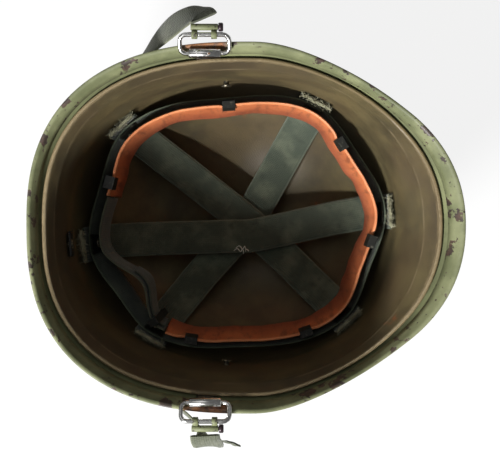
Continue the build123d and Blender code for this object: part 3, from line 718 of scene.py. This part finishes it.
stamped, g = new_finish("dark_lacquer")
wear = g.step(g.noise(0.003, 5, 0.7), 0.55, 0.68)
colour = g.mix(wear, (0.018, 0.018, 0.015), (0.10, 0.095, 0.07))
g.surface(colour, 0.4 + wear * 0.25, g.noise(0.0007, 2), 0.00008, metal=0.3)
recoat(stamped, "suspension_washers", "nape_plate", "sweatband_slide", "sweatband_clips")

# Rivets with round heads hold the washers, the studs and the nape plate. They are brass under
# a dark finish that has rubbed through.
brassy, g = new_finish("rubbed_rivet")
wear = g.step(g.noise(0.002, 4, 0.7), 0.45, 0.62)
colour = g.mix(wear, (0.03, 0.028, 0.02), (0.22, 0.18, 0.11))
g.surface(colour, 0.45 - wear * 0.12, g.noise(0.0008, 2), 0.00008, metal=0.4)
recoat(brassy, "suspension_rivets", "side_studs", "nape_rivet")

# Each strap end is cut webbing, frayed and faded to khaki above the suspension band. Loose
# fibres stand out of the weave on all its faces.
TUFT_WIDTH, TUFT_LENGTH, TUFT_STAND = 22.0, 9.0, 0.5
TUFT_SHARES, TUFT_LEANS = (0, 0.3, 0.55, 0.8, 1.0), (0.0, 0.1, 0.4, 1.0, 1.8)
FIBRE_DENSITY, FIBRE_LENGTH = 9e5, 0.0032
khaki_webbing = webbing("khaki_webbing", (0.26, 0.25, 0.155), (0.42, 0.41, 0.27), TUFT_WIDTH / 2 * MM, 0.0018)


def fibre_tree(material):
    """Fibres scattered on a mesh's faces: each a bent hair, turned and scaled at random."""
    tree = bpy.data.node_groups.new("frayed_fibres", "GeometryNodeTree")
    tree.interface.new_socket("Geometry", in_out="INPUT", socket_type="NodeSocketGeometry")
    for label, value in (("Density", FIBRE_DENSITY), ("Length", FIBRE_LENGTH)):
        tree.interface.new_socket(label, in_out="INPUT", socket_type="NodeSocketFloat").default_value = value
    tree.interface.new_socket("Geometry", in_out="OUTPUT", socket_type="NodeSocketGeometry")
    g = Graph(tree)
    given = g.tree.nodes.new("NodeGroupInput")
    source, density, length = [Field(g, socket) for socket in given.outputs[:3]]
    spots = g.node("GeometryNodeDistributePointsOnFaces", {}, {"Mesh": source, "Density": density, "Seed": 4})
    line = g.node("GeometryNodeCurvePrimitiveBezierSegment", {},
                  {"Resolution": 5, "Start": (0, 0, 0), "Start Handle": (0.1, 0.0, 0.35),
                   "End Handle": (-0.25, 0.2, 0.7), "End": (0.15, 0.35, 1.0)})
    girth = g.node("GeometryNodeCurvePrimitiveCircle", {}, {"Resolution": 4, "Radius": 0.04})
    hair = g.node("GeometryNodeCurveToMesh", {}, {"Curve": line, "Profile Curve": girth, "Fill Caps": True})
    turn = g.node("FunctionNodeRandomValue", {"data_type": "FLOAT_VECTOR"},
                  {0: (-0.9, -0.9, 0.0), 1: (0.9, 0.9, 6.28), "Seed": 8})
    size = g.node("FunctionNodeRandomValue", {"data_type": "FLOAT"}, {2: 0.45, 3: 1.15, "Seed": 2}, 1)
    placed = g.node("GeometryNodeInstanceOnPoints", {},
                    {"Points": spots, "Instance": hair, "Rotation": turn, "Scale": size * length})
    real = g.node("GeometryNodeRealizeInstances", {}, {0: placed})
    joined = g.node("GeometryNodeJoinGeometry")
    for piece in (real, source):
        tree.links.new(piece.socket, joined.socket.node.inputs[0])
    painted = g.node("GeometryNodeSetMaterial", {}, {"Geometry": joined, "Material": material})
    result = tree.nodes.new("NodeGroupOutput")
    tree.links.new(painted.socket, result.inputs[0])
    return tree


def baked(made, tree, values):
    """Runs a Geometry Nodes tree on an object and returns the result as a plain mesh."""
    modifier = made.modifiers.new("grown", "NODES")
    modifier.node_group = tree
    sockets = {item.name: item.identifier for item in tree.interface.items_tree if item.in_out == "INPUT"}
    for label, value in values.items():
        modifier[sockets[label]] = value
    bpy.context.view_layer.update()
    mesh = bpy.data.meshes.new_from_object(made.evaluated_get(bpy.context.evaluated_depsgraph_get()))
    grown = bpy.data.objects.new(made.name + "_grown", mesh)
    bpy.context.scene.collection.objects.link(grown)
    bpy.data.objects.remove(made)
    return grown


tufts = []
for number, angle in enumerate(WASHERS):
    inset = LINER_INNER + WEB_SEAT + WEB_THICK / 2
    level, upward, inward = wall_axes(angle, WASHER_HEIGHT, inset)
    rises = [WEB_WIDTH / 2 + TUFT_STAND + share * (TUFT_LENGTH - 3 * TUFT_STAND) for share in TUFT_SHARES]
    points = [wall_point(angle, WASHER_HEIGHT + rise, inset) + inward * lean
              for rise, lean in zip(rises, TUFT_LEANS)]

    def ragged(length, across, seed=number * 5.0):
        lift = noise.noise(Vector((length / 4, across / 5, seed))) * 1.6
        return lift, noise.noise(Vector((length / 5, seed, 2.0))) * 1.5

    tufts.append(ribbon(f"tuft_{number}", points, [level] * 5, TUFT_WIDTH, WEB_THICK * 1.25, 4, 22, ragged))
tuft = baked(joined_mesh("strap_ends_frayed", tufts), fibre_tree(khaki_webbing),
             {"Density": FIBRE_DENSITY, "Length": FIBRE_LENGTH})
put_on(tuft, "helmet", "frayed_webbing", khaki_webbing, "strap_ends")

# The bales are wire loops hinged in barrels inside the rim and folded outward over it, bright
# where the strap's hook has rubbed them and rusty in the corners.
HINGE_Y, HINGE_Z, WIRE = 110.545, 178.6, 1.5
BALE_WIDTH, BALE_LENGTH, BALE_CORNER, BALE_RISE, CORNER_RUNS, WIRE_STEP = 31.0, 12.6, 4.0, 28.0, 8, 1.5
WIRE_HOLE, LUG_WALL, LUG_BARREL, LUG_WIDTH, LUG_PLATE, LUG_BOTTOM = WIRE + 0.25, 1.2, 20.0, 13.0, 0.6, 161.0
LUG_INSETS, LUG_RISES = [1.8, 1.8, 1.8, 2.1, 3.2], [0.0, 3.0, 6.0, 9.0, 12.0]
ACROSS = Vector((1, 0, 0))


def bale_frame(way):
    """Hinge line's middle and the direction in which the folded loop leaves it."""
    up = Vector((0, way * math.cos(math.radians(BALE_RISE)), math.sin(math.radians(BALE_RISE))))
    return Vector((BALE_X, way * HINGE_Y, HINGE_Z)), up


def loop_path(way):
    """The wire's middle line: a rectangle with round corners, in even steps."""
    origin, up = bale_frame(way)
    half, corner = BALE_WIDTH / 2, BALE_CORNER
    path = []
    far = BALE_LENGTH - corner
    for cx, cy, start in ((half - corner, far, 0), (-half + corner, far, 90),
                          (-half + corner, corner, 180), (half - corner, corner, 270)):
        for k in range(CORNER_RUNS + 1):
            turn = math.radians(start + 90 * k / CORNER_RUNS)
            aside = Vector((cx + corner * math.cos(turn), 0, 0))
            path.append(origin + aside + up * (cy + corner * math.sin(turn)))
    dense = []
    for index, point in enumerate(path):
        following = path[(index + 1) % len(path)]
        runs = max(1, round((following - point).length / WIRE_STEP))
        dense += [point.lerp(following, k / runs) for k in range(runs)]
    return dense


def lathe(origin, axis, stations, sides=24):
    """A turned shape round an axis: stations are (distance along it, radius)."""
    axis = axis.normalized()
    normal = axis.orthogonal().normalized()
    other = axis.cross(normal)
    rows = [[origin + axis * along + (normal * math.cos(t) + other * math.sin(t)) * radius
             for t in (2 * math.pi * k / sides for k in range(sides))] for along, radius in stations]
    lays = [[(k / sides * 0.01, along * MM) for k in range(sides)] for along, radius in stations]
    return rows, lays


def ring_barrel(name, origin, axis, length, inner, outer, bevel=0.2):
    half = length / 2
    stations = [(-half, inner + bevel), (-half, outer - bevel), (-half + bevel, outer), (half - bevel, outer),
                (half, outer - bevel), (half, inner + bevel), (half - bevel, inner), (-half + bevel, inner)]
    rows, lays = lathe(origin, axis, stations)
    return solid_from_rows(name, rows, lays, wrap=True)


def steel(name, colour, dull, dirt, amount, roughness):
    material, g = new_finish(name)
    spots = g.step(g.noise(0.004, 6, 0.7), 1 - amount, 1 - amount + 0.08)
    haze = g.noise(0.002, 3)
    tint = g.mix(g.step(haze, 0.35, 0.7) * 0.5, colour, dull)
    tint = g.mix(spots, tint, dirt)
    g.surface(tint, roughness + haze * 0.15 + spots * 0.35, haze * 0.3 + spots, 0.00005,
              metal=1 - spots * 0.85)
    return material


bright_wire = steel("bright_wire", (0.80, 0.80, 0.78), (0.45, 0.44, 0.41), (0.17, 0.075, 0.03), 0.40, 0.14)
grey_lug = steel("worn_lug", (0.62, 0.61, 0.56), (0.25, 0.24, 0.19), (0.085, 0.05, 0.03), 0.46, 0.26)
for way, side in ((1, "right"), (-1, "left")):
    origin, up = bale_frame(way)
    bale = tube(f"bale_{side}_wire", loop_path(way), WIRE, 18)
    put_on(bale, f"{side}_bale", "bale_wire", bright_wire, f"bale_{side}")
    angle = math.degrees(math.atan2(origin.y, origin.x))
    points = [wall_point(angle, LUG_BOTTOM + rise, inset) for rise, inset in zip(LUG_RISES, LUG_INSETS)]
    points.append(origin - Vector((0, 0, WIRE_HOLE + LUG_WALL / 2)))
    level = wall_axes(angle, LUG_BOTTOM, 0)[0]
    plate = ribbon(f"bale_lug_{side}_plate", points, [level] * len(points), LUG_WIDTH, LUG_PLATE, 4, 8)
    barrel = ring_barrel(f"bale_lug_{side}_barrel", origin, ACROSS, LUG_BARREL,
                         WIRE_HOLE, WIRE_HOLE + LUG_WALL)
    put_on(plate, "helmet", "hinge_metal", grey_lug, f"bale_lug_{side}")
    put_on(barrel, "helmet", "hinge_metal", bright_wire, f"bale_lug_{side}")

# Each hook grips the loop's free bar with two sheet fingers and carries the chin strap on a
# pin with a dark knob. Its olive paint is worn.
HOOK_METAL, FINGER, SPREAD, HOOK_BARREL, HOOK_BARREL_R = 1.1, 3.6, 12.2, 17.0, 2.1
PIN_R, HOOK_REACH, KNOB_R, KNOB_LENGTH, SOFT_GAP = 1.2, 4.6, 2.8, 3.0, 0.3
PIN_EDGE, KNOB_EDGE, KNOB_FACE, BARREL_EDGE = 0.3, 0.4, 0.6, 0.25

hook_olive, g = new_finish("hook_olive")
wear = g.step(g.noise(0.003, 5, 0.7), 0.56, 0.62)
colour = g.mix(wear, (0.16, 0.175, 0.085), (0.035, 0.024, 0.024))
g.surface(colour, 0.5 + g.noise(0.001) * 0.2, g.noise(0.0008, 2) - wear, 0.00008)
pin_dark, g = new_finish("pin_dark")
colour = g.mix(g.noise(0.002, 4), (0.012, 0.008, 0.011), (0.05, 0.03, 0.035))
g.surface(colour, 0.35, g.noise(0.0006, 2), 0.00006, metal=0.4)
for way, side in ((1, "right"), (-1, "left")):
    origin, up = bale_frame(way)
    bar = origin + up * BALE_LENGTH
    axle = bar + Vector((0, way * HOOK_REACH, 0))
    parts = []
    for shift in (-SPREAD / 2, SPREAD / 2):
        centre = bar + ACROSS * shift
        parts.append(ring_barrel("finger", centre, ACROSS, FINGER,
                                 WIRE_HOLE, WIRE_HOLE + HOOK_METAL, BARREL_EDGE))
        reach = [centre + Vector((0, way * d, 0))
                 for d in (WIRE_HOLE + 0.1, HOOK_REACH - HOOK_BARREL_R + 0.6)]
        parts.append(ribbon("tongue", reach, [ACROSS] * 2, FINGER, 2 * HOOK_METAL, 2, 6))
    parts.append(ring_barrel("barrel", axle, ACROSS, HOOK_BARREL, PIN_R + 0.15, HOOK_BARREL_R, BARREL_EDGE))
    hook = joined_mesh(f"hook_{side}_sheet", parts)
    put_on(hook, f"{side}_hook", "hook_paint", hook_olive, f"hook_{side}")
    half = HOOK_BARREL / 2
    knob = half + SOFT_GAP
    stations = [(-half, PIN_R - PIN_EDGE), (-half + PIN_EDGE, PIN_R), (knob, PIN_R),
                (knob, KNOB_R - KNOB_EDGE), (knob + KNOB_EDGE, KNOB_R),
                (knob + KNOB_LENGTH - KNOB_FACE, KNOB_R), (knob + KNOB_LENGTH, KNOB_R - KNOB_FACE)]
    rows, lays = lathe(axle, ACROSS, stations)
    pin = solid_from_rows(f"hook_pin_{side}_turned", rows, lays, axle - ACROSS * half,
                          axle + ACROSS * (knob + KNOB_LENGTH))
    put_on(pin, f"{side}_hook", "pin_metal", pin_dark, f"hook_pin_{side}")

# The chin strap is 19 mm webbing. It leaves both hooks, turns over the rim's flare and closes
# round the nape in a buckle.
CHIN_WIDTH, CHIN_THICK, CHIN_HEIGHT, CHIN_STAND, CHIN_STEP, LAP_STAND = 19.0, 1.6, 148.0, 2.0, 5.0, 1.0
CHIN_RIGHT, CHIN_LEFT, BUCKLE_ANGLE, BUCKLE_LENGTH, TAIL_LENGTH = 134.0, 235.0, 201.0, 17.0, 32.0
RIGHT_LEAD = [((101.3, 8.0, 1.18), (1.0, 0.0, 0.0)), ((102.3, 12.0, 1.09), (0.95, 0.3, -0.1)),
              ((105.6, 14.0, 0.96), (0.6, 0.78, -0.2)), ((110.0, 14.2, 0.78), (0.15, 0.9, -0.4)),
              ((115.2, 13.0, 0.55), (0.05, 0.8, -0.6)), ((120.5, 10.5, 0.3), (0.0, 0.45, -0.88)),
              ((125.8, 7.0, 0.12), (0.0, 0.2, -0.98))]
LEFT_LEAD = [((258.7, 7.0, 1.19), (1.0, 0.0, 0.0)), ((259.2, 12.0, 1.098), (1.0, 0.0, -0.1)),
             ((260.1, 19.0, 0.9), (0.9, 0.0, -0.3)), ((260.0, 24.0, 0.66), (0.7, -0.2, -0.5)),
             ((258.5, 25.0, 0.4), (0.45, -0.5, -0.75)), ((254.5, 21.0, 0.18), (0.25, -0.5, -0.85)),
             ((248.0, 15.0, 0.06), (0.1, -0.3, -0.95)), ((241.5, 8.5, 0.0), (0.0, -0.2, -0.98))]


def lead_point(angle, stand, share):
    return wall_point(angle, CHIN_HEIGHT + share * (HINGE_Z - CHIN_HEIGHT), -stand)


def chin_point(angle, layer):
    return wall_point(angle, CHIN_HEIGHT, -CHIN_STAND - CHIN_THICK / 2 - layer * (CHIN_THICK + LAP_STAND))


def chin_turn(length):
    return math.degrees(length / wall_radius(BUCKLE_ANGLE, CHIN_HEIGHT, -CHIN_STAND))


def chin_band(name, lead, start, end, layer, seed):
    points = [lead_point(*place) for place, across in lead]
    edges = [Vector(across) for place, across in lead]
    count = max(2, round(abs(end - start) / CHIN_STEP))
    for k in range(count + 1):
        angle = start + (end - start) * k / count
        points.append(chin_point(angle, layer))
        edges.append(-wall_axes(angle, CHIN_HEIGHT, 0)[1])
    return ribbon(name, points, edges, CHIN_WIDTH, CHIN_THICK, 6, 12, strap_wobble(seed, 0.4))


chin_webbing = webbing("chin_webbing", (0.085, 0.095, 0.06), (0.16, 0.165, 0.11), CHIN_WIDTH / 2 * MM)
half_buckle = chin_turn(BUCKLE_LENGTH / 2 + 2 * SOFT_GAP)
right = chin_band("chinstrap_right_web", RIGHT_LEAD, CHIN_RIGHT, BUCKLE_ANGLE - half_buckle, 0, 91.0)
left = chin_band("chinstrap_left_web", LEFT_LEAD, CHIN_LEFT, BUCKLE_ANGLE + half_buckle, 0, 95.0)
tail_stop = BUCKLE_ANGLE + half_buckle + chin_turn(TAIL_LENGTH)
tail = chin_band("chinstrap_tail_web", [], BUCKLE_ANGLE + half_buckle, tail_stop, 1, 99.0)
for strap, side, place in ((right, "right", 1), (left, "left", -1)):
    strap.data.materials.append(chin_webbing)
    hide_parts(f"chinstrap_{side}")
    place * 0.128
    place * 0.1335
    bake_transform(strap)
put_on(tail, "helmet", "chin_webbing", chin_webbing, "chinstrap_tail")
recoat(stamped, "chinstrap_buckle", "chinstrap_tongue", "chinstrap_tip")

# The ragged corner of webbing beside the left hook is the strap's torn keeper. It is thinner
# than the strap and hangs from it.
FOLD_WIDTH, FOLD_THICK = 9.0, 1.2
FOLD_WAY = ((264.3, 11.0, 1.127), (265.8, 13.0, 1.078), (267.8, 17.0, 0.98))
FOLD_EDGE = Vector((0.1, 0.2, 1))


def torn(length, across):
    lift = noise.noise(Vector((length / 5, across / 5, 31.0))) * 1.2
    return lift, noise.noise(Vector((length / 4, 8.0, 31.0))) * 1.8


fold = ribbon("strap_fold_scrap", [lead_point(*spot) for spot in FOLD_WAY], [FOLD_EDGE] * len(FOLD_WAY),
              FOLD_WIDTH, FOLD_THICK, 8, 12, torn)
put_on(fold, "helmet", "frayed_webbing", chin_webbing, "strap_fold")

# The table is white. The camera looks down through the opening, a little from the wearer's
# right, and a large soft lamp stands low at the nape on the wearer's left.
floor_mesh = bpy.data.meshes.new("floor")
FLOOR = 4
floor_mesh.from_pydata([(-FLOOR, -FLOOR, 0), (FLOOR, -FLOOR, 0), (FLOOR, FLOOR, 0), (-FLOOR, FLOOR, 0)],
                       [], [(0, 1, 2, 3)])
floor = bpy.data.objects.new("floor", floor_mesh)
bpy.context.scene.collection.objects.link(floor)
white, g = new_finish("white_table")
seen = g.node("ShaderNodeLightPath", output="Is Camera Ray")
for ray in ("Is Glossy Ray", "Is Transmission Ray"):
    seen = seen.math("MAXIMUM", seen, g.node("ShaderNodeLightPath", output=ray))
matt = g.node("ShaderNodeBsdfDiffuse", {}, {"Color": (0.9, 0.9, 0.9)})
glow = g.node("ShaderNodeEmission", {}, {"Color": (1, 1, 1), "Strength": 1.0})
mixed = g.node("ShaderNodeMixShader", {}, {0: seen * 0.86, 1: matt, 2: glow})
g.node("ShaderNodeOutputMaterial", {}, {"Surface": mixed})
floor_mesh.materials.append(white)

world = bpy.data.worlds.new("studio")
bpy.context.scene.world = world
world.use_nodes = True
world.node_tree.nodes.clear()
g = Graph(world.node_tree)
seen = g.node("ShaderNodeLightPath", output="Is Camera Ray")
glow = g.node("ShaderNodeBackground", {}, {"Color": (1, 1, 1), "Strength": seen * 0.88 + 0.12})
g.node("ShaderNodeOutputWorld", {}, {"Surface": glow})


def lamp(name, place, aim, size, power, colour=(1, 1, 1)):
    data = bpy.data.lights.new(name, "AREA")
    data.size, data.energy, data.color = size, power, colour
    made = bpy.data.objects.new(name, data)
    bpy.context.scene.collection.objects.link(made)
    made.location = place
    made.rotation_euler = (Vector(aim) - Vector(place)).to_track_quat("-Z", "Y").to_euler()


lamp("key", (-0.62, -0.92, 1.05), (0.03, 0.05, 0.1), 0.35, 42.0)
lamp("fill", (-0.5, 0.5, 1.5), (0, 0, 0.1), 1.0, 2.0)

bpy.context.scene.view_settings.view_transform = "Standard"
camera_data = bpy.data.cameras.new("camera")
camera_data.sensor_width, camera_data.lens = 36.0, 90.9
camera = bpy.data.objects.new("camera", camera_data)
bpy.context.scene.collection.objects.link(camera)
camera.location = (0.0025, 0.0368, 0.9769)
camera.rotation_euler = (math.radians(-3.0), 0, 0)
bpy.context.scene.camera = camera
